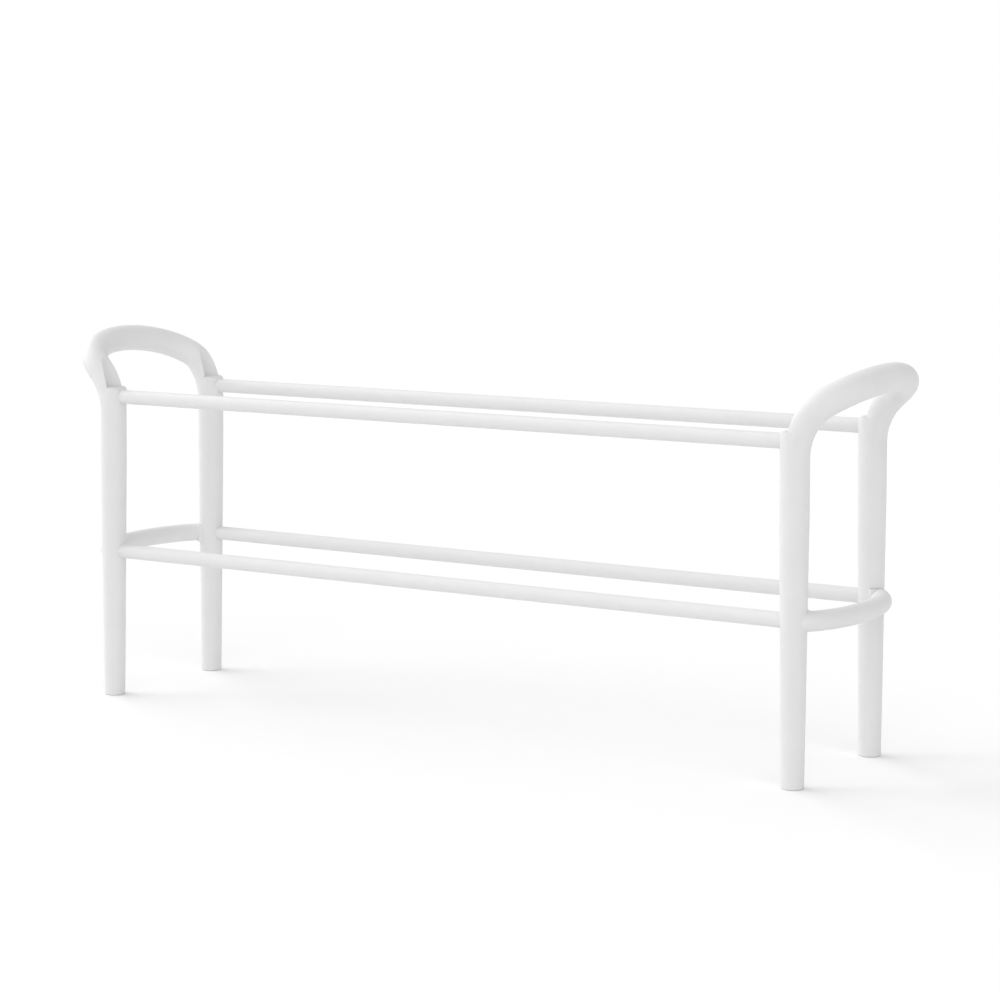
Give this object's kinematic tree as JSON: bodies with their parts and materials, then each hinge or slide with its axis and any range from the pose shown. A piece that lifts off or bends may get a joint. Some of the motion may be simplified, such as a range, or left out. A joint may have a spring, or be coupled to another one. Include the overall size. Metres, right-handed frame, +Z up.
{
  "type": "garden bench",
  "caption": "White bench frame with tapered round legs, outward-leaning arm hoops, slim seat rails, low stretchers and curved end bows; made to carry a loose seat.",
  "frame": {"origin": "centre of the footprint, on the ground", "axes": "+X along the bench towards its right end, +Y from front to back, +Z up"},
  "size_m": [1.245, 0.2554, 0.5125],
  "materials": {
    "painted_timber": "satin white paint",
    "painted_steel": "satin white powder coat",
    "bare_beech": "bare",
    "nylon": "matte",
    "zinc": "zinc plated"
  },
  "bodies": {
    "root": {"leg_front_left": "painted_timber", "leg_front_right": "painted_timber", "leg_rear_left": "painted_timber", "leg_rear_right": "painted_timber", "arm_left": "painted_timber", "arm_right": "painted_timber", "seat_rail_front": "painted_steel", "seat_rail_rear": "painted_steel", "stretcher_front": "painted_steel", "stretcher_rear": "painted_steel", "end_bow_left": "painted_timber", "end_bow_right": "painted_timber", "arm_dowel_front_left": "bare_beech", "arm_dowel_front_right": "bare_beech", "arm_dowel_rear_left": "bare_beech", "arm_dowel_rear_right": "bare_beech", "bow_dowel_front_left": "bare_beech", "bow_dowel_front_right": "bare_beech", "bow_dowel_rear_left": "bare_beech", "bow_dowel_rear_right": "bare_beech", "foot_glide_front_left": "nylon", "foot_glide_front_right": "nylon", "foot_glide_rear_left": "nylon", "foot_glide_rear_right": "nylon", "glide_nails": "zinc"}
  },
  "joints": []
}
